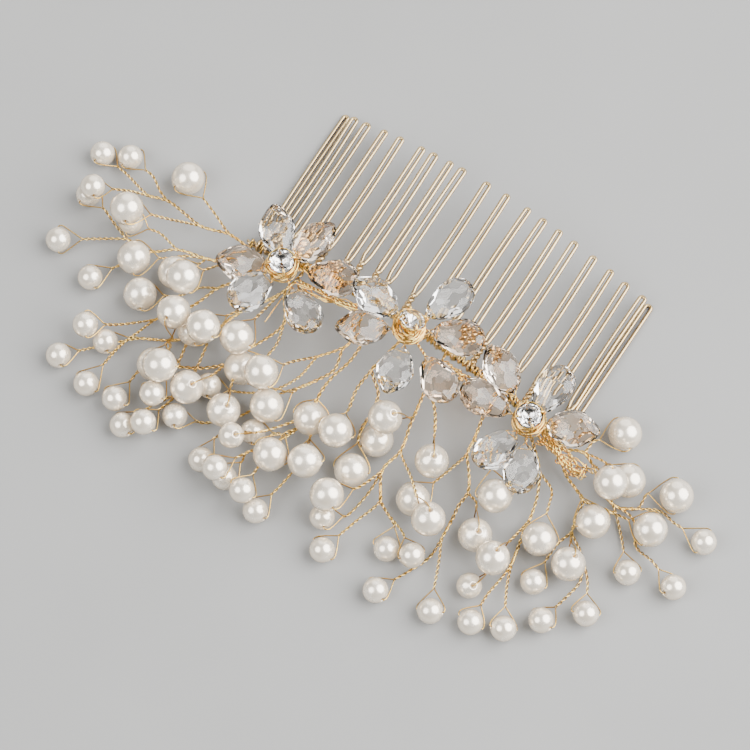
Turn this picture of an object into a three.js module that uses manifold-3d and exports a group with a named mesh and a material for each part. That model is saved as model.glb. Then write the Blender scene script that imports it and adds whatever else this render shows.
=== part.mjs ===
// A bridal hair comb: a comb of bent brass wire, three crystal flowers along its spine, and sprays of
// pearls on twisted gold wire that fan out from it. Millimetres. X runs along the spine from the left
// end to the right end, Y towards the tooth tips, Z up. The comb lies on a table with its arch upwards.
import * as THREE from "three";
import { mergeVertices } from "three/addons/utils/BufferGeometryUtils.js";
import Module from "manifold-3d";

const wasm = await Module();
wasm.setup();

// Comb
const combHalfLength = 45;
const spineLowZ = 1.6; // height of the spine at its two ends
const spineRise = 9.4; // how much higher the arch stands in the middle
const spineY = 12;
const spineBow = 1.3; // the spine also bows towards the teeth
const spineRadius = 0.9;
const spineStep = 7.5;
const toothWireRadius = 0.38;
const toothLegSpacing = 1.6;
const toothNeckSpacing = 0.86;
const toothNeckLength = 7;
const toothDrop = 1.2; // the tips lie this much lower than the spine
const toothBendSteps = 3;
const toothOpening = 3; // beyond the neck the legs part over this length
const toothSpread = 0.98; // the feet of the teeth stand a little closer than their tips
const toothShift = 2; // and the teeth lean towards the left end
// Where the tips of the hand-bent teeth come, along X.
const toothTips = [
  -44.5, -42, -38.5, -33.5, -29, -23, -19.5, -15, -11.5, -4.5,
  1, 7, 11.5, 16, 20.5, 26, 31, 35.5, 40.5, 42.5,
];
const tipY = 53;
const tipBow = 1.2;
const crossedTeeth = { 0: -0.5, 1: 0.5, 18: 0.9, 19: -0.9 }; // the end teeth lie over and under

// Pearls
const smallPearl = 6;
const largePearl = 8;
const drillRadius = 0.8;
const forkGap = 1.9; // the two strands of a twig part this far off the pearl
const pearlSides = 8;
const pearlRings = 5;

// Twisted wire
const cordRadius = 0.42;
const cordSides = 4;
const cordStep = 8;
const strandRadius = 0.22;
const eyeStep = 2.6;
const strandGap = 0.6; // from the pearl's surface to the middle of the strand beside it
const hookRadius = 2; // each stem hooks over the spine at this distance from its middle

const bundleRadius = 0.7;

// Crystal petals: flattened drops with their narrow end at the middle of the flower
const petalLength = 12.4;
const petalWidth = 8;
const petalThickness = 5;
const petalTilt = THREE.MathUtils.degToRad(11);

// Round stones in claw cups
const stoneRadius = 3;
const cupHeight = 2.2;
const rimHalfWidth = 0.65; // of the cup's rim, beyond the stone
const clawRadius = 0.3;
const spokeRadius = 0.35;
const stalkRadius = 0.9;
const stalkClearance = 0.5; // between a flower's stalk and the spine, which thin wire fills

const point = ([x, y, z]) => new THREE.Vector3(x, y, z);
const spineAt = (x) => {
  const fall = (x / combHalfLength) ** 2;
  return new THREE.Vector3(x, spineY + spineBow * (1 - fall), spineLowZ + spineRise * (1 - fall));
};

const brass = () => new THREE.MeshStandardMaterial({ color: 0xd9b98c, roughness: 0.28, metalness: 1 });
const goldWire = () => new THREE.MeshStandardMaterial({ color: 0xd9a545, roughness: 0.3, metalness: 1 });
const pearlCoat = () => new THREE.MeshStandardMaterial({ color: 0xf3eee6, roughness: 0.25, metalness: 0 });
const crystal = () => new THREE.MeshStandardMaterial({ color: 0xf4efe9, roughness: 0.05, metalness: 0 });

function solidOf(geometry) {
  const bare = geometry.clone();
  bare.deleteAttribute("normal");
  bare.deleteAttribute("uv");
  const merged = mergeVertices(bare, 1e-4);
  return new wasm.Manifold(
    new wasm.Mesh({
      numProp: 3,
      vertProperties: new Float32Array(merged.attributes.position.array),
      triVerts: new Uint32Array(merged.index.array),
    }),
  );
}

function geometryOf(solid) {
  const mesh = solid.getMesh();
  const geometry = new THREE.BufferGeometry();
  geometry.setAttribute("position", new THREE.BufferAttribute(mesh.vertProperties, 3));
  geometry.setIndex(new THREE.BufferAttribute(mesh.triVerts, 1));
  geometry.computeVertexNormals();
  return geometry;
}

function joined(geometries) {
  const solid = geometries.map(solidOf).reduce((whole, piece) => whole.add(piece));
  return geometryOf(solid.simplify(0.1));
}

// Points along a smooth curve that passes through every bend.
function smooth(bends, stepLength) {
  const curve = new THREE.CatmullRomCurve3(bends, false, "centripetal");
  const points = [bends[0]];
  for (let i = 1; i < bends.length; i += 1) {
    const steps = Math.max(1, Math.round(bends[i - 1].distanceTo(bends[i]) / stepLength));
    for (let k = 1; k <= steps; k += 1) {
      points.push(curve.getPoint((i - 1 + k / steps) / (bends.length - 1)));
    }
  }
  return points;
}

// A closed round wire with a ring of corners at each of its points, which aren't twisted along the way.
function wire(points, radius, sides) {
  const vertices = [];
  const faces = [];
  let side = null;
  points.forEach((centre, i) => {
    const before = points[Math.max(i - 1, 0)];
    const after = points[Math.min(i + 1, points.length - 1)];
    const along = after.clone().sub(before).normalize();
    side ??= Math.abs(along.z) < 0.9 ? new THREE.Vector3(0, 0, 1) : new THREE.Vector3(1, 0, 0);
    side.addScaledVector(along, -side.dot(along)).normalize();
    const other = new THREE.Vector3().crossVectors(along, side);
    for (let k = 0; k < sides; k += 1) {
      const angle = (2 * Math.PI * k) / sides;
      const corner = centre.clone().addScaledVector(side, radius * Math.cos(angle));
      corner.addScaledVector(other, radius * Math.sin(angle));
      vertices.push(corner.x, corner.y, corner.z);
    }
  });
  const last = (points.length - 1) * sides;
  for (let ring = 0; ring < last; ring += sides) {
    for (let k = 0; k < sides; k += 1) {
      const next = (k + 1) % sides;
      faces.push(ring + k, ring + next, ring + sides + k);
      faces.push(ring + next, ring + sides + next, ring + sides + k);
    }
  }
  for (let k = 1; k < sides - 1; k += 1) faces.push(0, k + 1, k, last, last + k, last + k + 1);
  const geometry = new THREE.BufferGeometry();
  geometry.setAttribute("position", new THREE.Float32BufferAttribute(vertices, 3));
  geometry.setIndex(faces);
  return geometry;
}

function makeMesh(name, geometry, material) {
  const mesh = new THREE.Mesh(geometry, material);
  mesh.name = name;
  return mesh;
}

// One tooth: a hairpin of wire whose two legs draw together and run on as a neck to the spine.
function tooth(index) {
  const tipX = toothTips[index];
  const lift = crossedTeeth[index] ?? 0;
  const foot = spineAt(toothSpread * tipX + toothShift);
  const bow = tipBow * (1 - (tipX / combHalfLength) ** 2);
  const tipZ = Math.max(toothWireRadius, spineAt(tipX).z - toothDrop + lift);
  const tip = new THREE.Vector3(tipX, tipY + bow, tipZ);
  const along = tip.clone().sub(foot).normalize();
  const across = new THREE.Vector3(1, 0, 0).addScaledVector(along, -along.x).normalize();
  const length = foot.distanceTo(tip);
  const place = (forward, aside) =>
    foot.clone().addScaledVector(along, forward).addScaledVector(across, aside);
  const half = toothLegSpacing / 2;
  const bendStart = length - toothWireRadius - half;
  const leg = [
    [0, toothNeckSpacing / 2],
    [toothNeckLength, toothNeckSpacing / 2],
    [toothNeckLength + toothOpening, half],
  ];
  const route = leg.map(([forward, aside]) => place(forward, -aside));
  for (let i = 0; i <= toothBendSteps; i += 1) {
    const angle = Math.PI * (1 - i / toothBendSteps);
    route.push(place(bendStart + half * Math.sin(angle), half * Math.cos(angle)));
  }
  route.push(...leg.map(([forward, aside]) => place(forward, aside)).reverse());
  return wire(route, toothWireRadius, 4);
}

function makeComb() {
  const bends = [];
  for (let x = -combHalfLength; x <= combHalfLength; x += spineStep) bends.push(spineAt(x));
  const spine = wire(bends, spineRadius, 6);
  return makeMesh("comb", joined([spine, ...toothTips.map((_, index) => tooth(index))]), brass());
}

// A crystal drop with rings of corners that are turned against each other, so that its facets are lozenges.
function petalGeometry() {
  const radius = petalWidth / 2;
  const profile = [[0, 0], [0.28, 0.09], [0.72, 0.32], [1, 0.6], [0.8, 0.84], [0, 1]].map(
    ([out, along]) => new THREE.Vector2(out * radius, along * petalLength),
  );
  const geometry = new THREE.LatheGeometry(profile, 8);
  const corners = geometry.attributes.position;
  for (let i = 0; i < corners.count; i += 1) {
    const ring = i % profile.length;
    const angle = ring % 2 ? Math.PI / 8 : 0;
    const corner = new THREE.Vector3().fromBufferAttribute(corners, i);
    corner.applyAxisAngle(THREE.Object3D.DEFAULT_UP, angle);
    corners.setXYZ(i, corner.x, corner.y, corner.z);
  }
  geometry.translate(0, -petalLength / 2, 0);
  geometry.scale(1, 1, petalThickness / petalWidth);
  return geometry;
}

function cupGeometry() {
  const profile = [
    [0.6, 0], [1.5, 0], [stoneRadius + 0.1, cupHeight], [stoneRadius + 0.6, cupHeight],
    [1.9, -0.6], [0.6, -0.6], [0.6, 0],
  ].map(([out, height]) => new THREE.Vector2(out, height));
  const geometry = new THREE.LatheGeometry(profile.reverse(), 10);
  return geometry.rotateX(Math.PI / 2);
}

function stoneGeometry() {
  const profile = [
    [0, -1.5], [stoneRadius, 0.2], [stoneRadius, 0.5], [1.7, 1.4], [0, 1.4],
  ].map(([out, height]) => new THREE.Vector2(out, height));
  const geometry = new THREE.LatheGeometry(profile, 8);
  return geometry.rotateX(Math.PI / 2);
}

// Each flower: where its stone sits, which way the stone leans, and its six petals. A petal is given
// by its direction in degrees, the distance of its middle from the stone, and the height of its middle.
const flowers = [
  {
    name: "flower_left", stone: [-32.3, 8.5, 13.8], lean: [0, 0],
    petals: [
      [132, 9.2, 11.2], [74, 9.8, 11], [17, 12.8, 13.4],
      [328, 12.2, 10.8], [258, 9.8, 12.4], [207, 9.6, 9.6],
    ],
  },
  {
    name: "flower_middle", stone: [2.2, 11.8, 19.4], lean: [-28, 0],
    petals: [
      [176, 10.8, 17.4], [69, 10.7, 16.6], [19, 11.2, 16.6],
      [329, 14.4, 15.6], [285, 12, 16.6], [216, 11.6, 15.4],
    ],
  },
  {
    name: "flower_right", stone: [36.3, 9.5, 13.8], lean: [0, 0],
    petals: [
      [152, 13.4, 12.4], [87, 9.2, 11.2], [22, 10.4, 11.2],
      [296, 11.6, 9.4], [259, 10.9, 12.6], [188, 11.2, 11],
    ],
  },
];
const petalLetters = "abcdef";

function makeFlower({ name, stone, lean, petals }) {
  const flower = new THREE.Group();
  const middle = point(stone);
  const setting = [];
  const cup = cupGeometry();
  const seat = new THREE.Group();
  seat.rotation.set(THREE.MathUtils.degToRad(lean[0]), THREE.MathUtils.degToRad(lean[1]), 0);
  seat.position.copy(middle);
  seat.updateMatrix();
  setting.push(cup.translate(0, 0, -cupHeight).applyMatrix4(seat.matrix));
  for (let i = 0; i < 4; i += 1) {
    const angle = Math.PI * (0.25 + i / 2);
    const claw = (out, height) =>
      new THREE.Vector3(out * Math.cos(angle), out * Math.sin(angle), height).applyMatrix4(seat.matrix);
    const rim = stoneRadius + rimHalfWidth;
    setting.push(wire([claw(rim - 0.4, -0.8), claw(rim, 0.2), claw(rim - 0.5, 1.5)], clawRadius, 4));
  }
  const below = new THREE.Vector3(0, 0, -cupHeight - 0.4).applyMatrix4(seat.matrix);
  const stalk = below.clone();
  stalk.z = spineAt(middle.x).z + spineRadius + stalkClearance + stalkRadius;
  petals.forEach(([degrees, distance, height], i) => {
    const direction = THREE.MathUtils.degToRad(degrees);
    const petal = makeMesh(`${name}_petal_${petalLetters[i]}`, petalGeometry(), crystal());
    petal.position.set(
      middle.x + distance * Math.cos(direction),
      middle.y + distance * Math.sin(direction),
      height,
    );
    petal.rotation.set(petalTilt, 0, direction - Math.PI / 2, "ZXY");
    flower.add(petal);
    const reach = (petalLength / 2) * Math.cos(petalTilt) + 0.5;
    const inner = new THREE.Vector3(
      middle.x + (distance - reach) * Math.cos(direction),
      middle.y + (distance - reach) * Math.sin(direction),
      height - (petalLength / 2) * Math.sin(petalTilt),
    );
    const start = below.clone();
    start.z = Math.min(start.z, inner.z);
    if (inner.distanceTo(start) > 1.2) setting.push(wire([start, inner], spokeRadius, 4));
  });
  setting.push(wire([below.clone().setZ(below.z + 0.3), stalk], stalkRadius, 6));
  flower.add(makeMesh(`${name}_setting`, joined(setting), goldWire()));
  const crystalStone = makeMesh(`${name}_stone`, stoneGeometry(), crystal());
  crystalStone.position.copy(middle);
  crystalStone.rotation.copy(seat.rotation);
  flower.add(crystalStone);
  return flower;
}

const small = (at, ...by) => ({ diameter: smallPearl, at, by });
const large = (at, ...by) => ({ diameter: largePearl, at, by });
const drilledUp = (pearl) => ({ ...pearl, drilledUp: true });

// The sprays from the left end to the right end. Every stem hooks over the spine at its first point and
// is bent by hand; a second stem may leave the first. Each pearl has its middle, and then the points of
// the twig that carries it, from the stem outwards.
const sprays = [
  {
    name: "spray_01",
    hookX: -43.5,
    stems: [[[-49, 10.5, 3.5], [-56, 8.5, 3], [-61.5, 9, 3], [-66.5, 9.5, 2.5], [-71, 8, 2.5]]],
    pearls: [
      small([-81.3, 0.3, 9.2], [-71, 8, 2.5], [-74.5, 5.5, 5.5]),
      large([-71, 0, 10.4], [-56, 8.5, 3], [-62, 4.5, 7]),
      small([-80.5, 13.5, 3], [-66.5, 9.5, 2.5], [-69.5, 10.5, 2.5], [-73, 12.5, 3]),
      small([-86.5, 10.5, 3], [-71, 8, 2.5], [-78.5, 9.5, 2.5]),
      large([-65.5, 16.5, 4], [-49, 10.5, 3.5], [-55.5, 13, 3.5]),
    ],
  },
  {
    name: "spray_02",
    hookX: -40.5,
    stems: [
      [[-42, 8, 4], [-45.5, 4.5, 3], [-50, 2.5, 3], [-57, 0.5, 3], [-62.5, -3.5, 2.5], [-68.5, -4, 2.5]],
    ],
    pearls: [
      small([-82, -13.5, 3], [-68.5, -4, 2.5], [-74, -7.5, 2.5]),
      small([-83, 0, 3], [-68.5, -4, 2.5], [-73.5, -2.5, 2.5], [-77.5, -1, 3]),
      small([-70.5, 0, 3], [-57, 0.5, 3], [-63, 1.5, 3]),
      small([-70, -17, 3], [-62.5, -3.5, 2.5], [-65.5, -9.5, 3]),
      large([-64, -7.5, 4.6], [-50, 2.5, 3], [-54.5, 0, 3.5], [-57.5, -3, 4]),
      large([-54, -5, 4], [-50, 2.5, 3], [-50.5, 0.5, 3.5]),
      large([-49.5, -7, 11.8], [-43.5, 6, 3.8], [-45, 2, 7.5]),
    ],
  },
  {
    name: "spray_03",
    hookX: -37.5,
    stems: [[[-38, 6.5, 5.5], [-41, 1, 4], [-43.5, -2, 3], [-46, -9, 2.5], [-51, -16.5, 2.5]]],
    pearls: [
      large([-57.5, -14, 4], [-43.5, -2, 3], [-47.5, -4, 1.5], [-50.5, -9, 2]),
      small([-62.8, -28.2, 6.7], [-51, -16.5, 2.5], [-57, -23, 4]),
      small([-55, -39, 3], [-51, -16.5, 2.5], [-52, -21.5, 4.2], [-53.5, -27, 4.5]),
    ],
  },
  {
    name: "spray_04",
    hookX: -28.5,
    stems: [
      [
        [-29, 5, 7.5], [-31.5, 0.5, 6.5], [-34, -2.5, 5.5], [-36.5, -8, 4.5], [-38, -12, 3.5],
        [-41.5, -16, 3], [-45.5, -19, 2], [-51.5, -22.5, 2],
      ],
      [
        [-29, 5, 7.5], [-24.5, -2, 7.5], [-26.5, -8, 6], [-29, -12.5, 5], [-30.5, -16.5, 4],
        [-34.5, -20.5, 3.5], [-40, -23.5, 2.5], [-44, -26, 2],
      ],
    ],
    pearls: [
      small([-64.5, -37, 3], [-51.5, -22.5, 2], [-57, -28.5, 2.5]),
      small([-57.5, -28, 3], [-51.5, -22.5, 2], [-53, -23.5, 2.5]),
      large([-38.3, -14.6, 12.4], [-31.5, 0.5, 6.5], [-34.5, -5.5, 9]),
      large([-41.8, -14.2, 4], [-36.5, -8, 4.5], [-37.2, -10.4, 4]),
      large([-46.5, -15, 10.5], [-45.5, -19, 2], [-44.5, -19, 5.5]),
      large([-44.5, -26.5, 4], [-45.5, -19, 2], [-45.5, -20.3, 2.6]),
      large([-41, -28, 12.4], [-45.5, -19, 2], [-43, -21.5, 7]),
      small([-39.5, -33.5, 8], [-41.5, -16, 3], [-40, -22.5, 4.5], [-39.5, -27, 6.5]),
      small([-37.5, -40, 6.6], [-38, -12, 3.5], [-36.5, -17.5, 4.5], [-35.5, -24, 3.5], [-36, -31, 3.5]),
      small([-42, -42.5, 3], [-35.8, -29, 3.5], [-39, -34, 2.5]),
      large([-30.8, -11.8, 10.5], [-29.5, 4, 7], [-30, -2, 8.5]),
      small([-47, -38.5, 4.2], [-44, -26, 2], [-46.5, -29, 3]),
      large([-33.7, -27.8, 8.4], [-30.5, -16.5, 4], [-31, -21.5, 6.5]),
      large([-24, -27, 6], [-29, -12.5, 5], [-27.5, -17, 5.5]),
      large([-27.2, -15.8, 4.2], [-24.5, -2, 7.5], [-23, -7, 7], [-23.5, -10.5, 6]),
    ],
  },
  {
    name: "spray_05",
    hookX: -11,
    stems: [
      [[-8.5, 2, 10], [-10, -1, 9.5], [-13, -4.5, 8.5]],
      [[-9, 0, 9.8], [-8, -5, 8.5], [-10, -9, 7.5], [-12.5, -12.5, 6.5]],
    ],
    pearls: [
      large([-20.6, -16.3, 13], [-13, -4.5, 8.5], [-16.5, -9, 10]),
      small([-31, -23.3, 3.4], [-13, -4.5, 8.5], [-14, -11, 7.5], [-18, -17, 5.5], [-25, -20.5, 2]),
      large([-16.1, -20.8, 7.4], [-12.5, -12.5, 6.5], [-13, -14.5, 7]),
      small([-33, -34, 4], [-12.5, -12.5, 6.5], [-17.5, -18, 4], [-21, -24.5, 1.2], [-27, -31, 1.5]),
    ],
  },
  {
    name: "spray_06",
    hookX: -7,
    stems: [
      [[-6, 5, 10.5], [-6, -1.5, 9.5], [-7.5, -7, 8], [-7.5, -12.5, 7], [-5, -18.5, 5.5], [-4, -20.5, 5]],
      [[-7.5, -12.5, 7], [-7.5, -17, 6], [-7.5, -20.5, 5], [-9, -24, 4]],
    ],
    pearls: [
      large([-1, -27, 8], [-4, -20.5, 5]),
      large([-6.4, -17.2, 5.5], [-7.5, -12.5, 7]),
      small([-18, -32, 10], [-7.5, -17, 6], [-12, -24.5, 6.5], [-14.5, -28, 8]),
      small([-16, -26.7, 3], [-9, -24, 4], [-10.5, -23.8, 3.8]),
      small([-8.9, -40.8, 7.5], [-9, -24, 4], [-10, -28.5, 5], [-9.5, -34, 5.5]),
      small([-22, -39, 3], [-14.5, -28, 8], [-19, -29.5, 5], [-22.5, -33, 3]),
      small([-16.8, -40.3, 9.2], [-9, -24, 4], [-11.5, -29, 5.5], [-13.5, -33, 7]),
      small([-15, -39.5, 3], [-13.5, -33, 7], [-13.5, -34.5, 5]),
      small([-4.5, -42, 3], [-4, -20.5, 5], [-2.5, -27, 4.5], [-3, -33, 3.5]),
      large([-8.7, -30, 7], [-7.5, -20.5, 5], [-9, -23.5, 6]),
    ],
  },
  {
    name: "spray_07",
    separatePearls: true,
    hookX: 1,
    stems: [
      [[-0.5, -0.5, 10], [-1, -6, 8.5], [0, -10.5, 7.5]],
      [[-0.5, -0.5, 10], [4, -4.5, 9], [5, -9.5, 8]],
    ],
    pearls: [
      large([1, -17.5, 10], [0, -10.5, 7.5]),
      large([8.5, -22, 5], [5, -9.5, 8], [5, -13, 6.5]),
      large([9, -12.5, 4.2], [5, -9.5, 8]),
    ],
  },
  {
    name: "spray_08",
    separatePearls: true,
    hookX: 11.2,
    stems: [
      [[12.5, 2.5, 10], [13.5, -3, 9], [14, -6, 8], [15.5, -12, 6.5], [14.5, -18, 5.5], [18, -24, 4]],
      [[12.5, 2.5, 10], [15, 1.5, 9.5], [17.5, -1, 9], [19.5, -4, 8]],
    ],
    pearls: [
      large([9, -9, 12.2], [13.5, -4.5, 8.5]),
      drilledUp(large([23, -10.5, 8], [19.5, -4, 8])),
      large([8.1, -31.2, 9.4], [14.5, -18, 5.5], [14, -21, 6.5], [12.5, -25.5, 7.5]),
      small([9, -34.5, 3], [14.5, -18, 5.5], [14.5, -24, 3], [13.2, -31, 1.8]),
      small([13.5, -41, 3], [18, -24, 4], [16, -31.5, 3.5]),
      small([25.5, -32.5, 3], [18, -24, 4], [21, -25.5, 3.5], [24, -27, 3.5]),
      small([31.5, -31, 5.2], [21, -25.5, 3.5], [26.5, -27.5, 4.5]),
      drilledUp(large([30.5, -23, 10], [15.5, -12, 6.5], [21.5, -16.5, 7.5], [25, -19.5, 8.5])),
    ],
  },
  {
    name: "spray_09",
    separatePearls: true,
    hookX: 25,
    stems: [
      [
        [27, 4, 8], [28, -0.5, 7], [28.5, -4, 6.5], [31, -7, 5.5], [33.5, -11, 4.5],
        [33.5, -15, 4], [34, -18, 3.5], [34.5, -23, 3],
      ],
    ],
    pearls: [
      large([24, -19.5, 4], [28.5, -4, 6.5], [27, -9.5, 5]),
      small([29, -42, 3], [34.5, -23, 3], [34.5, -28, 1.2], [32.5, -33.5, 1.2]),
      small([42, -39, 3], [34.5, -23, 3], [37, -28, 3]),
      large([40.5, -18.5, 4], [33.5, -11, 4.5], [36.5, -12, 4.5]),
      large([39.5, -9, 7], [28, -0.5, 7], [32, 0.5, 7.5], [34, -2.5, 7.5]),
    ],
  },
  {
    name: "spray_10",
    separatePearls: true,
    hookX: 34.6,
    stems: [[[39.5, 7, 5], [44, 3, 3], [47, -2.5, 3], [48.5, -7.5, 2.5], [49.5, -12.5, 2.5], [51, -19, 2]]],
    pearls: [
      small([51, -36, 3], [51, -19, 2], [51, -23, 2.5], [50.5, -28.5, 2.5]),
      small([58, -33, 3], [51, -19, 2], [53, -24, 2.5]),
      drilledUp(large([47.5, -22, 8.6], [48.5, -7.5, 2.5], [48.5, -13, 5.5])),
      small([46, -29, 3], [51, -19, 2], [48.5, -21.5, 2.5]),
      large([53.2, -11.2, 4.5], [44, 3, 3], [49, 0.5, 3.5], [50.5, -3, 4]),
    ],
  },
  {
    name: "spray_11",
    separatePearls: true,
    hookX: 39.4,
    stems: [
      [[46, 9, 3.5], [49, 6, 3], [53.5, 4, 3], [56, 3, 2.2], [57, -1, 1.2], [58, -4.5, 1.2]],
      [[56, 3, 2.2], [61, 4, 1.8], [64, 4.5, 2]],
    ],
    pearls: [
      large([62, -12.5, 5], [58, -4.5, 1.2], [59, -6.5, 2.8]),
      small([57.5, -20, 3], [58, -4.5, 1.2], [57, -9, 2], [57, -13.5, 2.5]),
      small([64, -26.5, 3], [62.5, -7.5, 0.9], [66, -13, 1.2], [65.5, -19, 2]),
      small([71.5, -19.5, 3], [58, -4.5, 1.2], [62.5, -7.5, 0.9], [67.5, -12.5, 1.5]),
      large([73, 5, 4.8], [64, 4.5, 2], [66, 4.5, 3]),
      large([61.2, -1, 5.4], [53.5, 4, 3], [55.5, 3, 4.4]),
    ],
  },
  {
    name: "spray_12",
    separatePearls: true,
    hookX: 44.6,
    stems: [[[50, 12.5, 3], [55, 10, 3], [59, 7, 2], [63.5, 6.5, 1], [67.5, 8.5, 1.5]]],
    pearls: [
      large([55.5, 21.5, 4], [50, 12.5, 3], [50.5, 16, 3.5]),
      large([60.1, 7.3, 11.5], [52.5, 11.5, 3], [55, 10, 7]),
      large([62.5, 12, 5], [50, 12.5, 3], [55, 13, 4]),
      large([73.5, 15.5, 4], [67.5, 8.5, 1.5], [67.5, 12.5, 3]),
      small([84.5, 10, 3], [67.5, 8.5, 1.5], [72, 11, 1.5], [76.5, 10, 3]),
      small([74, -6, 3], [61, 7, 1.5], [67.5, 1.5, 1]),
      small([84.5, -3, 3], [63.5, 6.5, 1], [68, 6, 1], [72, 1, 0.8], [77, -0.5, 3]),
    ],
  },
];

const cord = (bends) => wire(smooth(bends, cordStep), cordRadius, cordSides);

// The point just short of a pearl where the two strands of its twig part.
function forkOf({ at, by, diameter }) {
  const centre = point(at);
  const out = point(by.at(-1)).sub(centre).normalize();
  return { centre, out, fork: centre.clone().addScaledVector(out, diameter / 2 + forkGap) };
}

// The drill hole runs across the twig: level, or upwards where the pearl has turned on its wire.
function drillAxis({ out }, drilledUp) {
  const up = new THREE.Vector3(0, 0, 1);
  const axis = drilledUp ? up.addScaledVector(out, -out.z) : new THREE.Vector3().crossVectors(out, up);
  return axis.normalize();
}

// A pearl joined to its twig is a solid ball; the strands run inside it.
function joinedPearl(pearl) {
  const twig = cord([...pearl.by, pearl.at].map(point));
  const ball = new THREE.SphereGeometry(pearl.diameter / 2, pearlSides, pearlRings).rotateX(Math.PI / 2);
  return [twig, ball.translate(...pearl.at)];
}

// A pearl of its own hangs in an eye of wire: one strand from the fork, round the pearl, through its
// drill hole and back round the other side.
function wireEye(pearl) {
  const { centre, out, fork } = forkOf(pearl);
  const axis = drillAxis({ out }, pearl.drilledUp);
  const radius = pearl.diameter / 2;
  const place = (outward, sideways) =>
    centre.clone().addScaledVector(out, outward).addScaledVector(axis, sideways);
  const half = [
    [radius + forkGap, 0.1],
    [0.62 * (radius + strandGap), 0.8 * (radius + strandGap)],
    [0.2 * (radius + strandGap), radius + strandGap + 0.1],
    [0, radius + 0.3],
    [0, radius - 1],
  ];
  const route = half.map(([outward, sideways]) => place(outward, sideways));
  route.push(...half.map(([outward, sideways]) => place(outward, -sideways)).reverse());
  const twig = cord([...pearl.by.map(point), fork]);
  return [twig, wire(smooth(route, eyeStep), strandRadius, 3)];
}

function drilledPearl(name, pearl) {
  const radius = pearl.diameter / 2;
  const mouth = Math.acos(drillRadius / radius);
  const profile = [];
  for (let i = 0; i <= pearlRings; i += 1) {
    const angle = mouth * ((2 * i) / pearlRings - 1);
    profile.push(new THREE.Vector2(radius * Math.cos(angle), radius * Math.sin(angle)));
  }
  profile.push(profile[0].clone());
  const mesh = makeMesh(name, new THREE.LatheGeometry(profile, pearlSides), pearlCoat());
  const { centre, out } = forkOf(pearl);
  mesh.position.copy(centre);
  mesh.quaternion.setFromUnitVectors(new THREE.Vector3(0, 1, 0), drillAxis({ out }, pearl.drilledUp));
  return mesh;
}

function hookPoints(hookX) {
  const spine = spineAt(hookX);
  return [[0.7, 1], [-0.7, 1], [-1.1, 0.1]].map(
    ([y, z]) => new THREE.Vector3(hookX, spine.y + hookRadius * y, spine.z + hookRadius * z),
  );
}

function makeSpray({ name, hookX, stems, pearls, separatePearls }) {
  const spray = new THREE.Group();
  const pieces = stems.map((stem, i) => {
    return cord([...(i === 0 ? hookPoints(hookX) : []), ...stem.map(point)]);
  });
  let count = 0;
  pearls.forEach((pearl) => {
    const ownPiece = separatePearls && pearl.diameter === largePearl;
    pieces.push(...(ownPiece ? wireEye(pearl) : joinedPearl(pearl)));
    if (!ownPiece) return;
    count += 1;
    spray.add(drilledPearl(`${name}_pearl_${count}`, pearl));
  });
  spray.add(makeMesh(name, joined(pieces), goldWire()));
  return spray;
}

// Loose ends of wire laid along the spine between two flowers, and the knot of ends at the right.
function makeBundle({ name, route }) {
  return makeMesh(name, wire(smooth(route.map(point), 2.5), bundleRadius, 6), goldWire());
}
const bundles = [
  { name: "wire_ends_left", route: [[-26, 9.8, 9], [-22, 10, 10], [-18, 10.4, 11], [-14, 10.6, 11.6]] },
  { name: "wire_ends_middle", route: [[13, 10.2, 10.8], [15.5, 9.9, 10.4], [18, 10, 9.6]] },
  {
    name: "wire_knot",
    route: [
      [41.6, 8.8, 7.6], [43.4, 6.2, 8.6], [45.4, 9.2, 7.6], [47.4, 6, 7.6], [49.4, 9, 6.6], [51.4, 7.2, 5.6],
    ],
  },
];

const group = new THREE.Group();
group.add(makeComb());
flowers.forEach((flower) => group.add(makeFlower(flower)));
sprays.forEach((spray) => group.add(makeSpray(spray)));
bundles.forEach((bundle) => group.add(makeBundle(bundle)));

// The origin is the middle of the whole piece, on the table.
const extent = new THREE.Box3().setFromObject(group);
const middle = extent.getCenter(new THREE.Vector3());
group.position.set(-middle.x, -middle.y, -extent.min.z);

export default group;
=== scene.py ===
# Bridal hair comb: a bent wire comb, three crystal flowers and sprays of pearls on twisted gold wire.
# Shapes are worked out in millimetres along the comb and turned into metres when a piece is made.
import math

import bmesh
import bpy
import numpy as np
from mathutils import Matrix, Vector


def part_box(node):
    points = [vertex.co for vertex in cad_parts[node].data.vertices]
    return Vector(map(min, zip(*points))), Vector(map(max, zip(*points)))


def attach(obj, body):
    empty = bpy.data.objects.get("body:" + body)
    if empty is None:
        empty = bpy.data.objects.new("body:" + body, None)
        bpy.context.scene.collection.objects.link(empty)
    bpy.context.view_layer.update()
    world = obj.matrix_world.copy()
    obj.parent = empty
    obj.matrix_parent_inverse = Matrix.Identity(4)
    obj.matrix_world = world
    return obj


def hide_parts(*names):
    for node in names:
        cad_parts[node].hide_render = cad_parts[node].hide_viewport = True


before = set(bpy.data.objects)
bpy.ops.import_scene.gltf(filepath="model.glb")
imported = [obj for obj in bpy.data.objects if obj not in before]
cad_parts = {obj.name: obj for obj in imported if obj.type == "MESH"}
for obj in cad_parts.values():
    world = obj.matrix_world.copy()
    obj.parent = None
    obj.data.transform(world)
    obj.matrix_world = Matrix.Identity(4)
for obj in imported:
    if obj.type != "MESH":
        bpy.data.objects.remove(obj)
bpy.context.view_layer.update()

# the comb's own millimetres sit a little off the frame's, by what one pearl's box shows
markPearl = {"node": "spray_08_pearl_1", "middle": (9, -9, 12.2)}
low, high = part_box(markPearl["node"])
layoutShift = np.array((low + high) / 2) * 1000 - np.array(markPearl["middle"])
rng = np.random.default_rng(12)


def metres(point):
    return Vector((np.array(point, float) + layoutShift) / 1000)


cameraView = {"azimuth": 34.5, "elevation": 70, "distance": 700, "lens": 144.5, "aim": (0, 0, 6)}


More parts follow.
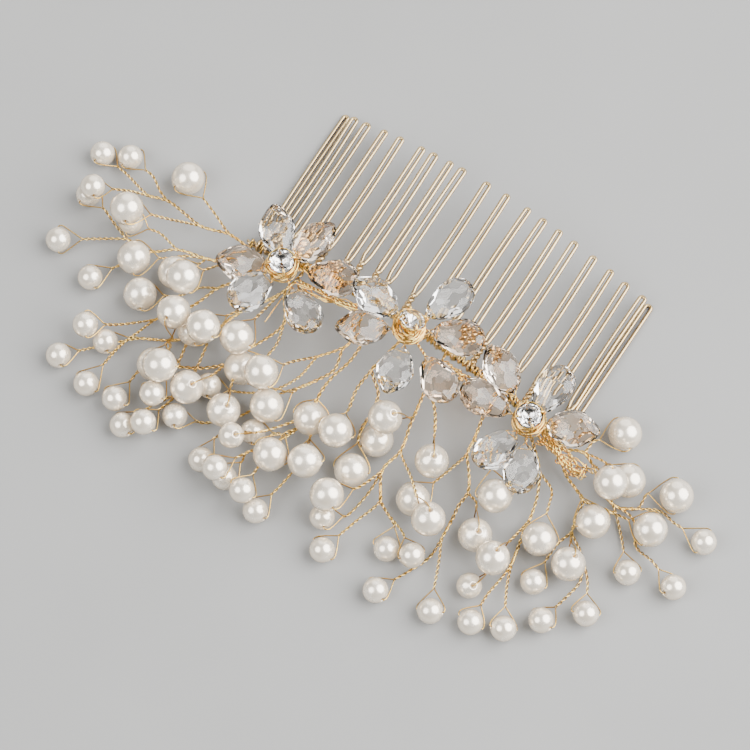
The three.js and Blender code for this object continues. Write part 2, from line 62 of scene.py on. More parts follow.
def makeCamera():
    turn, rise = math.radians(cameraView["azimuth"]), math.radians(cameraView["elevation"])
    back = Vector((math.sin(turn) * math.cos(rise), -math.cos(turn) * math.cos(rise), math.sin(rise)))
    camera = bpy.data.objects.new("camera", bpy.data.cameras.new("camera"))
    camera.data.lens = cameraView["lens"]
    camera.data.sensor_width = 36
    camera.data.clip_start = 0.01
    camera.location = metres(cameraView["aim"]) + back * cameraView["distance"] / 1000
    camera.rotation_euler = (-back).to_track_quat("-Z", "Y").to_euler()
    bpy.context.scene.collection.objects.link(camera)
    bpy.context.scene.camera = camera


makeCamera()


class Reading:  # a value in a material, which can be used in sums
    def __init__(self, surface, socket):
        self.surface = surface
        self.socket = socket

    def __add__(self, other):
        return self.surface.sum("ADD", self, other)

    def __radd__(self, other):
        return self.surface.sum("ADD", other, self)

    def __mul__(self, other):
        return self.surface.sum("MULTIPLY", self, other)

    def __rmul__(self, other):
        return self.surface.sum("MULTIPLY", other, self)


class Surface:  # a material on the Principled shader
    def __init__(self, name, **settings):
        self.material = bpy.data.materials.new(name)
        self.material.use_nodes = True
        self.nodes = self.material.node_tree.nodes
        self.shader = self.nodes["Principled BSDF"]
        self.place = self.add("ShaderNodeTexCoord", output="Object")
        for socket, value in settings.items():
            self.shader.inputs[socket.replace("_", " ")].default_value = value

    def add(self, kind, setup=None, output=0, **inputs):
        node = self.nodes.new(kind)
        for key, value in (setup or {}).items():
            setattr(node, key, value)
        for key, value in inputs.items():
            socket = node.inputs[int(key[2:]) if key.startswith("at") else key.replace("_", " ")]
            self.feed(socket, value)
        return Reading(self, node.outputs[output])

    def feed(self, socket, value):
        if isinstance(value, Reading):
            self.material.node_tree.links.new(value.socket, socket)
        else:
            socket.default_value = value

    def sum(self, operation, left, right):
        return self.add("ShaderNodeMath", {"operation": operation}, at0=left, at1=right)

    def blend(self, share, first, second):
        colours = {"data_type": "RGBA"}
        return self.add("ShaderNodeMix", colours, output=2, at0=share, at6=first, at7=second)

    def noise(self, size, detail=2, roughness=0.5):
        scale = 1000 / size  # size of the patches in millimetres
        return self.add(
            "ShaderNodeTexNoise", Vector=self.place, Scale=scale, Detail=detail, Roughness=roughness,
        )

    def spread(self, reading, low, high):  # the middle of a noise, stretched to 0..1
        return self.add("ShaderNodeMapRange", Value=reading, From_Min=low, From_Max=high)

    def wear(self, socket, value):
        self.feed(self.shader.inputs[socket], value)

    def bumps(self, height, strength, distance):  # distance in millimetres
        made = self.add("ShaderNodeBump", Height=height, Strength=strength, Distance=distance / 1000)
        self.feed(self.shader.inputs["Normal"], made)
        return self.material


# each metal's third colour is painted shade, put in the grooves between wires and on their undersides
combMetal = {
    "bright": (0.67, 0.51, 0.28, 1), "deep": (0.56, 0.395, 0.19, 1),
    "shadeColour": (0.12, 0.062, 0.02, 1),
    "roughness": 0.2, "patch": 14, "grain": 0.01,
}
wireMetal = {
    "bright": (0.87, 0.64, 0.225, 1), "deep": (0.77, 0.47, 0.11, 1),
    "shadeColour": (0.13, 0.05, 0.008, 1),
    "roughness": 0.15, "patch": 5, "grain": 0.03,
}
settingMetal = {
    "bright": (1.0, 0.74, 0.26, 1), "deep": (0.92, 0.53, 0.12, 1), "shadeColour": (0.20, 0.07, 0.01, 1),
    "roughness": 0.11, "patch": 3, "grain": 0.03,
}


def platedWire(name, look):
    # plating that is redder in patches, with painted shade (a dark colour and more roughness) on the side of
    # each wire that faces its neighbour or the table, and faint drawing marks
    surface = Surface(name, Metallic=1)
    patches = surface.spread(surface.noise(look["patch"], 3), 0.32, 0.68)
    # painted shade: how far each point lies in the shade between or under wires
    paintedShade = surface.add("ShaderNodeAttribute", {"attribute_name": "paintedShade"}, output="Fac")
    grain = surface.noise(0.5, 2)
    plating = surface.blend(patches, look["deep"], look["bright"])
    surface.wear("Base Color", surface.blend(paintedShade, plating, look["shadeColour"]))
    surface.wear("Roughness", grain * 0.12 + paintedShade * 0.25 + look["roughness"])
    return surface.bumps(grain, look["grain"], 0.03)


pearlLook = {
    "cream": (0.93, 0.85, 0.735, 1), "white": (0.99, 0.95, 0.885, 1), "core": (0.62, 0.48, 0.30, 1),
    "metallic": 0.52, "edge": (0.66, 0.50, 0.32, 1), "ior": 1.6, "roughness": 0.17,
    "coat": 1.0, "coatIor": 1.8, "coatRoughness": 0.12, "coatTint": (0.97, 0.93, 0.86, 1),
    "patch": 2.6, "ripple": 1.3,
}


def pearlSurface():  # nacre paint in cloudy cream and white, ivory towards its edges, under a clear coat
    surface = Surface(
        "pearl nacre", Metallic=pearlLook["metallic"], Specular_Tint=pearlLook["edge"], IOR=pearlLook["ior"],
        Coat_Weight=pearlLook["coat"], Coat_Roughness=pearlLook["coatRoughness"],
        Coat_IOR=pearlLook["coatIor"], Coat_Tint=pearlLook["coatTint"],
    )
    clouds = surface.spread(surface.noise(pearlLook["patch"], 3), 0.3, 0.7)
    orangePeel = surface.noise(0.35, 2)
    surface.wear("Base Color", surface.blend(clouds, pearlLook["cream"], pearlLook["white"]))
    surface.wear("Roughness", clouds * 0.1 + orangePeel * 0.05 + pearlLook["roughness"])
    ripples = surface.noise(pearlLook["ripple"], 2)
    return surface.bumps(orangePeel * 0.15 + ripples, 0.16, 0.05)


def coreSurface():  # bare bead inside a drill hole
    surface = Surface("pearl core", IOR=1.45)
    chips = surface.noise(0.4, 3)
    surface.wear("Base Color", surface.blend(chips, pearlLook["core"], pearlLook["cream"]))
    surface.wear("Roughness", chips * 0.2 + 0.4)
    return surface.bumps(chips, 0.3, 0.05)


crystalLook = {
    "clear": (1.0, 0.99, 0.975, 1), "clearEdge": (0.99, 0.965, 0.94, 1),
    "warm": (1.0, 0.90, 0.79, 1), "warmEdge": (1.0, 0.77, 0.58, 1), "ior": 1.58,
}


def crystalSurface(name, body, edge):  # cut glass with faint streaks of colour
    surface = Surface(name, Transmission_Weight=1, Roughness=0, IOR=crystalLook["ior"])
    streaks = surface.spread(surface.noise(3.5, 2), 0.35, 0.65)
    surface.wear("Base Color", surface.blend(streaks, body, edge))
    return surface.material


def foilSurface():  # silvered back of a round stone
    surface = Surface("silver foil", Metallic=1)
    smears = surface.spread(surface.noise(1.5, 2), 0.3, 0.7)
    surface.wear("Base Color", surface.blend(smears, (0.90, 0.90, 0.92, 1), (0.98, 0.97, 0.95, 1)))
    surface.wear("Roughness", smears * 0.06 + 0.04)
    return surface.material


floorLook = {"pale": (0.30, 0.30, 0.295, 1), "shade": (0.278, 0.278, 0.273, 1)}


def floorSurface():  # matt painted board
    surface = Surface("pale board")
    clouds = surface.spread(surface.noise(60, 3), 0.3, 0.7)
    surface.wear("Base Color", surface.blend(clouds, floorLook["shade"], floorLook["pale"]))
    surface.wear("Roughness", clouds * 0.1 + 0.65)
    return surface.bumps(surface.noise(1.2, 2), 0.05, 0.1)


materials = {
    "comb": platedWire("champagne plated wire", combMetal),
    "wire": platedWire("yellow gold wire", wireMetal),
    "setting": platedWire("gold setting", settingMetal),
    "pearl": pearlSurface(),
    "core": coreSurface(),
    "clear": crystalSurface("clear crystal", crystalLook["clear"], crystalLook["clearEdge"]),
    "warm": crystalSurface("warm crystal", crystalLook["warm"], crystalLook["warmEdge"]),
    "foil": foilSurface(),
}
print("materials made:", len(materials))


class Shape:  # points and faces of one piece, gathered part by part
    def __init__(self):
        self.points = []
        self.faces = []
        self.marks = []  # material number and smoothness of each face
        self.grooves = []  # how much painted shade each point gets, 0 to 1
        self.count = 0

    def add(self, points, faces, material=0, smooth=True, grooves=None):
        self.points.append(np.asarray(points, float))
        self.grooves.append(np.zeros(len(points)) if grooves is None else grooves)
        self.faces.extend([tuple(int(i) + self.count for i in face) for face in faces])
        self.marks.extend([(material, smooth)] * len(faces))
        self.count += len(points)

    def join(self, faces, material):  # more faces on the points that were added last
        start = self.count - len(self.points[-1])
        self.faces.extend([tuple(int(i) + start for i in face) for face in faces])
        self.marks.extend([(material, True)] * len(faces))

    def finish(self, name, surfaces, slot, nodes):
        points = (np.concatenate(self.points) + layoutShift) / 1000
        points[:, 2] = np.maximum(points[:, 2], 0)  # what rests on the table is level with it
        mesh = bpy.data.meshes.new(name)
        mesh.from_pydata(points.tolist(), [], self.faces)
        for surface in surfaces:
            mesh.materials.append(materials[surface])
        mesh.polygons.foreach_set("material_index", [mark[0] for mark in self.marks])
        mesh.polygons.foreach_set("use_smooth", [mark[1] for mark in self.marks])
        # the painted shade of each point, which the wire material turns into a dark colour
        paintedShade = mesh.attributes.new("paintedShade", "FLOAT", "POINT")
        paintedShade.data.foreach_set("value", np.concatenate(self.grooves))
        mesh.update()
        piece = bpy.data.objects.new(name, mesh)
        bpy.context.scene.collection.objects.link(piece)
        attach(piece, "root")
        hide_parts(*nodes)
        return piece


def unit(vectors):
    return vectors / np.maximum(np.linalg.norm(vectors, axis=-1, keepdims=True), 1e-9)


def smoothPath(bends, step):  # a curve through every bend, with points about one step apart
    bends = np.array(bends, float)
    if len(bends) == 2:
        count = max(2, int(np.linalg.norm(bends[1] - bends[0]) / step) + 1)
        return bends[0] + (bends[1] - bends[0]) * np.linspace(0, 1, count)[:, None]
    ends = np.vstack([2 * bends[0] - bends[1], bends, 2 * bends[-1] - bends[-2]])
    made = [bends[:1]]
    for i in range(1, len(ends) - 2):
        p0, p1, p2, p3 = ends[i - 1 : i + 3]
        gaps = [max(np.linalg.norm(b - a), 1e-4) ** 0.5 for a, b in ((p0, p1), (p1, p2), (p2, p3))]
        t1, t2, t3 = gaps[0], gaps[0] + gaps[1], sum(gaps)
        count = max(1, int(round(np.linalg.norm(p2 - p1) / step)))
        t = (t1 + (t2 - t1) * np.arange(1, count + 1) / count)[:, None]
        a1 = p0 * (t1 - t) / t1 + p1 * t / t1
        a2 = p1 * (t2 - t) / (t2 - t1) + p2 * (t - t1) / (t2 - t1)
        a3 = p2 * (t3 - t) / (t3 - t2) + p3 * (t - t2) / (t3 - t2)
        b1 = a1 * (t2 - t) / t2 + a2 * t / t2
        b2 = a2 * (t3 - t) / (t3 - t1) + a3 * (t - t1) / (t3 - t1)
        made.append(b1 * (t2 - t) / (t2 - t1) + b2 * (t - t1) / (t2 - t1))
    return np.vstack(made)


def lengthsAlong(path):
    return np.concatenate([[0], np.cumsum(np.linalg.norm(np.diff(path, axis=0), axis=1))])


def evenly(path, step):  # the same path with points one step apart
    along = lengthsAlong(path)
    count = max(2, int(round(along[-1] / step)) + 1)
    at = np.linspace(0, along[-1], count)
    return np.stack([np.interp(at, along, path[:, k]) for k in range(3)], axis=1)


def framesAlong(path):  # a side and an upward direction at each point, which don't twist along the way
    tangents = unit(np.gradient(path, axis=0))
    side = np.array((0.0, 0, 1)) if abs(tangents[0][2]) < 0.9 else np.array((1.0, 0, 0))
    sides = np.empty_like(path)
    for i, tangent in enumerate(tangents):
        side = side - tangent * (side @ tangent)
        side = side / max(np.linalg.norm(side), 1e-9)
        sides[i] = side
    return tangents, sides, np.cross(tangents, sides)


shadeReach = 0.22  # how far round a wire the painted shade reaches


def addWire(shape, path, radius, sides=6, middle=None, tapered=False):
    # middle is the line that the wire is wound round: the side towards it gets painted shade, and without a
    # middle the underside gets it
    path = np.array(path, float)
    path[:, 2] = np.maximum(path[:, 2], radius + 0.02)  # nothing sinks into the table
    _, across, up = framesAlong(path)
    angles = 2 * math.pi * np.arange(sides) / sides
    thickness = np.full(len(path), radius)
    if tapered:
        thickness[0] = thickness[-1] = radius * 0.55
    rings = (
        path[:, None]
        + thickness[:, None, None] * np.cos(angles)[None, :, None] * across[:, None]
        + thickness[:, None, None] * np.sin(angles)[None, :, None] * up[:, None]
    )
    count = len(path)
    start = (np.arange(count - 1) * sides)[:, None]
    k = np.arange(sides)[None]
    following = (k + 1) % sides
    quads = np.stack([start + k, start + following, start + sides + following, start + sides + k], axis=2)
    faces = [tuple(quad) for quad in quads.reshape(-1, 4).tolist()]
    faces.append(tuple(range(sides))[::-1])
    faces.append(tuple(range((count - 1) * sides, count * sides)))
    # painted shade for the side of the wire that faces the middle, or faces down
    inward = np.array((0, 0, -1.0)) * np.ones((count, 1)) if middle is None else unit(middle - path)
    facing = np.einsum("nki,ni->nk", unit(rings - path[:, None]), inward)
    grooves = np.clip(facing * 1.4 + shadeReach, 0, 1)
    shape.add(rings.reshape(-1, 3), faces, grooves=grooves.reshape(-1))


def twistedPair(path, radius, turnLength, endSide=None, steps=10):
    # the lines of two strands twisted round a path, and that path; the first strand ends on endSide
    path = evenly(path, turnLength / steps)
    tangents, across, up = framesAlong(path)
    along = lengthsAlong(path)
    last = 0.0
    if endSide is not None:
        last = math.atan2(endSide @ up[-1], endSide @ across[-1])
    uneven = 0.5 * np.sin(along / (turnLength * rng.uniform(1.7, 2.6)) + rng.uniform(0, 6.28))
    phase = last + 2 * math.pi * (along - along[-1]) / turnLength + (uneven - uneven[-1])
    loose = radius * (1.26 + 0.16 * np.sin(along / (turnLength * 1.3) + rng.uniform(0, 6.28)))
    offset = loose[:, None] * (np.cos(phase)[:, None] * across + np.sin(phase)[:, None] * up)
    return (path + offset, path - offset), path


comb = {
    # the spine: half its length, height at its ends, rise of its arch, place and bow
    "halfLength": 45, "lowZ": 1.6, "rise": 9.4, "y": 12, "bow": 1.3,
    "spineStrand": 0.38, "spineTurn": 4.6,
    # the teeth: wire, distance between the legs, twisted neck, opening of the legs, row of tips
    "wire": 0.43, "legSpacing": 1.25, "neck": 6.2, "neckTurn": 2.7, "neckGap": 0.4, "opening": 2.2,
    "tipY": 53, "tipBow": 1.2, "drop": 1.2, "footSpread": 0.98, "footShift": 2,
    "tips": (-44.5, -42, -38.5, -33.5, -29, -23, -19.5, -15, -11.5, -4.5,
             1, 7, 11.5, 16, 20.5, 26, 31, 35.5, 40.5, 42.5),
    "lifts": {0: -0.5, 1: 0.5, 18: 0.9, 19: -0.9},
    # the winding of each tooth's end: distance from the spine's middle, width, start and turn in degrees
    "winding": 1.08, "windingWidth": 1.5, "windingStart": -60, "windingTurn": 500,
}


def spineAt(x):
    fall = (x / comb["halfLength"]) ** 2
    return np.array((x, comb["y"] + comb["bow"] * (1 - fall), comb["lowZ"] + comb["rise"] * (1 - fall)))


def roundSpine(x, degrees, distance):  # a point beside the spine, by its angle round it
    angle = math.radians(degrees)
    return spineAt(x) + distance * np.array((0, math.cos(angle), math.sin(angle)))


def addTooth(shape, index):
    tipX, wire, gap = comb["tips"][index], comb["wire"], comb["neckGap"]
    foot = spineAt(comb["footSpread"] * tipX + comb["footShift"])
    tipZ = max(wire, spineAt(tipX)[2] - comb["drop"] + comb["lifts"].get(index, 0))
    tipY = comb["tipY"] + comb["tipBow"] * (1 - (tipX / comb["halfLength"]) ** 2)
    tip = np.array((tipX, tipY, tipZ))
    length = np.linalg.norm(tip - foot)
    forward = (tip - foot) / length
    aside = unit(np.array((1.0, 0, 0)) - forward * forward[0])
    raised = np.cross(aside, forward)
    half = comb["legSpacing"] / 2 * rng.uniform(0.82, 1.25)
    neck = comb["neck"] * rng.uniform(0.85, 1.15)
    turns = neck / comb["neckTurn"]
    sway = rng.uniform(-0.3, 0.3)  # the wires aren't quite straight
    touching = wire * 1.02  # from the middle of the neck to the middle of each wire
    legs, shades = [], []
    for sign in (-1, 1):
        leg, shade = [], []
        for s in np.linspace(0, neck, 22):  # neck: the two wires twisted round each other
            phase = math.pi * (0 if sign > 0 else 1) + 2 * math.pi * turns * (neck - s) / neck
            around = math.cos(phase) * aside + math.sin(phase) * raised
            leg.append(foot + forward * (s + gap) + touching * around)
            shade.append(foot + forward * (s + gap))
        start = neck + gap
        for s in np.linspace(start + 0.5, start + comb["opening"], 7):
            share = (s - start) / comb["opening"]
            spread = touching + (half - touching) * (3 * share**2 - 2 * share**3)
            leg.append(foot + forward * s + aside * sign * spread)
        bend = length - wire - half
        for s in np.linspace(start + comb["opening"] + 0.7, bend, 9):
            share = (s - start) / (bend - start)
            bow = sway * math.sin(math.pi * share)
            leg.append(foot + forward * s + aside * (sign * half + bow))
        legs.append(leg)
        # the middle lines for painted shade: each leg is shaded on its side towards the other leg and
        # downwards, the neck towards its twist, the bend at the tip underneath
        inward = 0.8 * sign * aside + 0.6 * raised
        shades.append(shade + [point - inward for point in leg[len(shade):]])
    tipBend = [
        foot + forward * (bend + half * math.sin(angle)) - aside * half * math.cos(angle)
        for angle in np.linspace(0, math.pi, 13)[1:-1]
    ]
    middle = shades[0] + [point - raised for point in tipBend] + shades[1][::-1]
    addWire(shape, legs[0] + tipBend + legs[1][::-1], wire, 10, np.array(middle))
    # the ends are wound round the spine
    turn = [
        roundSpine(
            foot[0] + comb["windingWidth"] * (share - 0.5),
            comb["windingStart"] + comb["windingTurn"] * share, comb["winding"],
        )
        for share in np.linspace(0, 1, 21)
    ]
    line = smoothPath(turn, 0.4)
    addWire(shape, line, wire, 8, np.array([spineAt(point[0]) for point in line]), tapered=True)


def makeComb():
    shape = Shape()
    line = np.array([spineAt(x) for x in np.linspace(-comb["halfLength"], comb["halfLength"], 60)])
    pair, middle = twistedPair(line, comb["spineStrand"], comb["spineTurn"], steps=14)
    for strand in pair:
        addWire(shape, strand, comb["spineStrand"], 10, middle, tapered=True)
    for index in range(len(comb["tips"])):
        addTooth(shape, index)
    return shape.finish("comb_wires", ["comb"], "comb_wire", ["comb"])


makeComb()
print("comb made")


def small(at, *by):
    return {"diameter": 6, "at": at, "by": by}


def large(at, *by):
    return {"diameter": 8, "at": at, "by": by}


def turned(pearl):  # its drill hole faces up
    return dict(pearl, turned=True)


# The sprays from the left end to the right end. Each has the points of its stems, and for each pearl its
# middle and then the points of the twig that carries it, from the stem outwards.
sprays = [
  {
    "name": "spray_01",
    "hookX": -43.5,
    "stems": [[[-49, 10.5, 3.5], [-56, 8.5, 3], [-61.5, 9, 3], [-66.5, 9.5, 2.5], [-71, 8, 2.5]]],
    "pearls": [
      small([-81.3, 0.3, 9.2], [-71, 8, 2.5], [-74.5, 5.5, 5.5]),
      large([-71, 0, 10.4], [-56, 8.5, 3], [-62, 4.5, 7]),
      small([-80.5, 13.5, 3], [-66.5, 9.5, 2.5], [-69.5, 10.5, 2.5], [-73, 12.5, 3]),
      small([-86.5, 10.5, 3], [-71, 8, 2.5], [-78.5, 9.5, 2.5]),
      large([-65.5, 16.5, 4], [-49, 10.5, 3.5], [-55.5, 13, 3.5]),
    ],
  },
  {
    "name": "spray_02",
    "hookX": -40.5,
    "stems": [
      [[-42, 8, 4], [-45.5, 4.5, 3], [-50, 2.5, 3], [-57, 0.5, 3], [-62.5, -3.5, 2.5], [-68.5, -4, 2.5]],
    ],
    "pearls": [
      small([-82, -13.5, 3], [-68.5, -4, 2.5], [-74, -7.5, 2.5]),
      small([-83, 0, 3], [-68.5, -4, 2.5], [-73.5, -2.5, 2.5], [-77.5, -1, 3]),
      small([-70.5, 0, 3], [-57, 0.5, 3], [-63, 1.5, 3]),
      small([-70, -17, 3], [-62.5, -3.5, 2.5], [-65.5, -9.5, 3]),
      large([-64, -7.5, 4.6], [-50, 2.5, 3], [-54.5, 0, 3.5], [-57.5, -3, 4]),
      large([-54, -5, 4], [-50, 2.5, 3], [-50.5, 0.5, 3.5]),
      large([-49.5, -7, 11.8], [-43.5, 6, 3.8], [-45, 2, 7.5]),
    ],
  },
  {
    "name": "spray_03",
    "hookX": -37.5,
    "stems": [[[-38, 6.5, 5.5], [-41, 1, 4], [-43.5, -2, 3], [-46, -9, 2.5], [-51, -16.5, 2.5]]],
    "pearls": [
      large([-57.5, -14, 4], [-43.5, -2, 3], [-47.5, -4, 1.5], [-50.5, -9, 2]),
      small([-62.8, -28.2, 6.7], [-51, -16.5, 2.5], [-57, -23, 4]),
      small([-55, -39, 3], [-51, -16.5, 2.5], [-52, -21.5, 4.2], [-53.5, -27, 4.5]),
    ],
  },
  {
    "name": "spray_04",
    "hookX": -28.5,
    "stems": [
      [[-29, 5, 7.5], [-31.5, 0.5, 6.5], [-34, -2.5, 5.5], [-36.5, -8, 4.5], [-38, -12, 3.5],
       [-41.5, -16, 3], [-45.5, -19, 2], [-51.5, -22.5, 2]],
      [[-29, 5, 7.5], [-24.5, -2, 7.5], [-26.5, -8, 6], [-29, -12.5, 5], [-30.5, -16.5, 4],
       [-34.5, -20.5, 3.5], [-40, -23.5, 2.5], [-44, -26, 2]],
    ],
    "pearls": [
      small([-64.5, -37, 3], [-51.5, -22.5, 2], [-57, -28.5, 2.5]),
      small([-57.5, -28, 3], [-51.5, -22.5, 2], [-53, -23.5, 2.5]),
      large([-38.3, -14.6, 12.4], [-31.5, 0.5, 6.5], [-34.5, -5.5, 9]),
      large([-41.8, -14.2, 4], [-36.5, -8, 4.5], [-37.2, -10.4, 4]),
      turned(large([-46.5, -15, 10.5], [-45.5, -19, 2], [-44.5, -19, 5.5])),
      large([-44.5, -26.5, 4], [-45.5, -19, 2], [-45.5, -20.3, 2.6]),
      large([-41, -28, 12.4], [-45.5, -19, 2], [-43, -21.5, 7]),
      small([-39.5, -33.5, 8], [-41.5, -16, 3], [-40, -22.5, 4.5], [-39.5, -27, 6.5]),
      small([-37.5, -40, 6.6], [-38, -12, 3.5], [-36.5, -17.5, 4.5], [-35.5, -24, 3.5], [-36, -31, 3.5]),
      small([-42, -42.5, 3], [-35.8, -29, 3.5], [-39, -34, 2.5]),
      large([-30.8, -11.8, 10.5], [-29.5, 4, 7], [-30, -2, 8.5]),
      small([-47, -38.5, 4.2], [-44, -26, 2], [-46.5, -29, 3]),
      turned(large([-33.7, -27.8, 8.4], [-30.5, -16.5, 4], [-31, -21.5, 6.5])),
      turned(large([-24, -27, 6], [-29, -12.5, 5], [-27.5, -17, 5.5])),
      large([-27.2, -15.8, 4.2], [-24.5, -2, 7.5], [-23, -7, 7], [-23.5, -10.5, 6]),
    ],
  },
  {
    "name": "spray_05",
    "hookX": -11,
    "stems": [
      [[-8.5, 2, 10], [-10, -1, 9.5], [-13, -4.5, 8.5]],
      [[-9, 0, 9.8], [-8, -5, 8.5], [-10, -9, 7.5], [-12.5, -12.5, 6.5]],
    ],
    "pearls": [
      large([-20.6, -16.3, 13], [-13, -4.5, 8.5], [-16.5, -9, 10]),
      small([-31, -23.3, 3.4], [-13, -4.5, 8.5], [-14, -11, 7.5], [-18, -17, 5.5], [-25, -20.5, 2]),
      large([-16.1, -20.8, 7.4], [-12.5, -12.5, 6.5], [-13, -14.5, 7]),
      small([-33, -34, 4], [-12.5, -12.5, 6.5], [-17.5, -18, 4], [-21, -24.5, 1.2], [-27, -31, 1.5]),
    ],
  },
  {
    "name": "spray_06",
    "hookX": -7,
    "stems": [
      [[-6, 5, 10.5], [-6, -1.5, 9.5], [-7.5, -7, 8], [-7.5, -12.5, 7], [-5, -18.5, 5.5], [-4, -20.5, 5]],
      [[-7.5, -12.5, 7], [-7.5, -17, 6], [-7.5, -20.5, 5], [-9, -24, 4]],
    ],
    "pearls": [
      large([-1, -27, 8], [-4, -20.5, 5]),
      large([-6.4, -17.2, 5.5], [-7.5, -12.5, 7]),
      turned(small([-18, -32, 10], [-7.5, -17, 6], [-12, -24.5, 6.5], [-14.5, -28, 8])),
      small([-16, -26.7, 3], [-9, -24, 4], [-10.5, -23.8, 3.8]),
      small([-8.9, -40.8, 7.5], [-9, -24, 4], [-10, -28.5, 5], [-9.5, -34, 5.5]),
      small([-22, -39, 3], [-14.5, -28, 8], [-19, -29.5, 5], [-22.5, -33, 3]),
      small([-16.8, -40.3, 9.2], [-9, -24, 4], [-11.5, -29, 5.5], [-13.5, -33, 7]),
      small([-15, -39.5, 3], [-13.5, -33, 7], [-13.5, -34.5, 5]),
      small([-4.5, -42, 3], [-4, -20.5, 5], [-2.5, -27, 4.5], [-3, -33, 3.5]),
      large([-8.7, -30, 7], [-7.5, -20.5, 5], [-9, -23.5, 6]),
    ],
  },
  {
    "name": "spray_07",
    "hookX": 1,
    "stems": [
      [[-0.5, -0.5, 10], [-1, -6, 8.5], [0, -10.5, 7.5]],
      [[-0.5, -0.5, 10], [4, -4.5, 9], [5, -9.5, 8]],
    ],
    "pearls": [
      large([1, -17.5, 10], [0, -10.5, 7.5]),
      large([8.5, -22, 5], [5, -9.5, 8], [5, -13, 6.5]),
      large([9, -12.5, 4.2], [5, -9.5, 8]),
    ],
  },
  {
    "name": "spray_08",
    "hookX": 11.2,
    "stems": [
      [[12.5, 2.5, 10], [13.5, -3, 9], [14, -6, 8], [15.5, -12, 6.5], [14.5, -18, 5.5], [18, -24, 4]],
      [[12.5, 2.5, 10], [15, 1.5, 9.5], [17.5, -1, 9], [19.5, -4, 8]],
    ],
    "pearls": [
      turned(large([9, -9, 12.2], [13.5, -4.5, 8.5])),
      turned(large([23, -10.5, 8], [19.5, -4, 8])),
      large([8.1, -31.2, 9.4], [14.5, -18, 5.5], [14, -21, 6.5], [12.5, -25.5, 7.5]),
      small([9, -34.5, 3], [14.5, -18, 5.5], [14.5, -24, 3], [13.2, -31, 1.8]),
      small([13.5, -41, 3], [18, -24, 4], [16, -31.5, 3.5]),
      small([25.5, -32.5, 3], [18, -24, 4], [21, -25.5, 3.5], [24, -27, 3.5]),
      small([31.5, -31, 5.2], [21, -25.5, 3.5], [26.5, -27.5, 4.5]),
      turned(large([30.5, -23, 10], [15.5, -12, 6.5], [21.5, -16.5, 7.5], [25, -19.5, 8.5])),
    ],
  },
  {
    "name": "spray_09",
    "hookX": 25,
    "stems": [
      [[27, 4, 8], [28, -0.5, 7], [28.5, -4, 6.5], [31, -7, 5.5], [33.5, -11, 4.5], [33.5, -15, 4],
       [34, -18, 3.5], [34.5, -23, 3]],
    ],
    "pearls": [
      large([24, -19.5, 4], [28.5, -4, 6.5], [27, -9.5, 5]),
      small([29, -42, 3], [34.5, -23, 3], [34.5, -28, 1.2], [32.5, -33.5, 1.2]),
      small([42, -39, 3], [34.5, -23, 3], [37, -28, 3]),
      turned(large([40.5, -18.5, 4], [33.5, -11, 4.5], [36.5, -12, 4.5])),
      large([39.5, -9, 7], [28, -0.5, 7], [32, 0.5, 7.5], [34, -2.5, 7.5]),
    ],
  },
  {
    "name": "spray_10",
    "hookX": 34.6,
    "stems": [
      [[39.5, 7, 5], [44, 3, 3], [47, -2.5, 3], [48.5, -7.5, 2.5], [49.5, -12.5, 2.5], [51, -19, 2]],
    ],
    "pearls": [
      small([51, -36, 3], [51, -19, 2], [51, -23, 2.5], [50.5, -28.5, 2.5]),
      small([58, -33, 3], [51, -19, 2], [53, -24, 2.5]),
      turned(large([47.5, -22, 8.6], [48.5, -7.5, 2.5], [48.5, -13, 5.5])),
      turned(small([46, -29, 3], [51, -19, 2], [48.5, -21.5, 2.5])),
      large([53.2, -11.2, 4.5], [44, 3, 3], [49, 0.5, 3.5], [50.5, -3, 4]),
    ],
  },
  {
    "name": "spray_11",
    "hookX": 39.4,
    "stems": [
      [[46, 9, 3.5], [49, 6, 3], [53.5, 4, 3], [56, 3, 2.2], [57, -1, 1.2], [58, -4.5, 1.2]],
      [[56, 3, 2.2], [61, 4, 1.8], [64, 4.5, 2]],
    ],
    "pearls": [
      turned(large([62, -12.5, 5], [58, -4.5, 1.2], [59, -6.5, 2.8])),
      small([57.5, -20, 3], [58, -4.5, 1.2], [57, -9, 2], [57, -13.5, 2.5]),
      small([64, -26.5, 3], [62.5, -7.5, 0.9], [66, -13, 1.2], [65.5, -19, 2]),
      small([71.5, -19.5, 3], [58, -4.5, 1.2], [62.5, -7.5, 0.9], [67.5, -12.5, 1.5]),
      large([73, 5, 4.8], [64, 4.5, 2], [66, 4.5, 3]),
      large([61.2, -1, 5.4], [53.5, 4, 3], [55.5, 3, 4.4]),
    ],
  },
  {
    "name": "spray_12",
    "hookX": 44.6,
    "stems": [[[50, 12.5, 3], [55, 10, 3], [59, 7, 2], [63.5, 6.5, 1], [67.5, 8.5, 1.5]]],
    "pearls": [
      large([55.5, 21.5, 4], [50, 12.5, 3], [50.5, 16, 3.5]),
      turned(large([60.1, 7.3, 11.5], [52.5, 11.5, 3], [55, 10, 7])),
      large([62.5, 12, 5], [50, 12.5, 3], [55, 13, 4]),
      large([73.5, 15.5, 4], [67.5, 8.5, 1.5], [67.5, 12.5, 3]),
      small([84.5, 10, 3], [67.5, 8.5, 1.5], [72, 11, 1.5], [76.5, 10, 3]),
      small([74, -6, 3], [61, 7, 1.5], [67.5, 1.5, 1]),
      small([84.5, -3, 3], [63.5, 6.5, 1], [68, 6, 1], [72, 1, 0.8], [77, -0.5, 3]),
    ],
  },
]
strands = {
    "stem": 0.185, "twig": 0.155, "stemTurn": 3.1, "twigTurn": 2.6, "fork": 1.9, "clearance": 0.2,
    "merge": (3.6, 1.7), "near": 1.6, "hook": 1.45, "turnedHole": 72,
}
pearlShape = {"hole": 0.62, "lip": 0.5, "lipHeight": 0.13, "thread": 0.27, "rings": 18, "sides": 32}


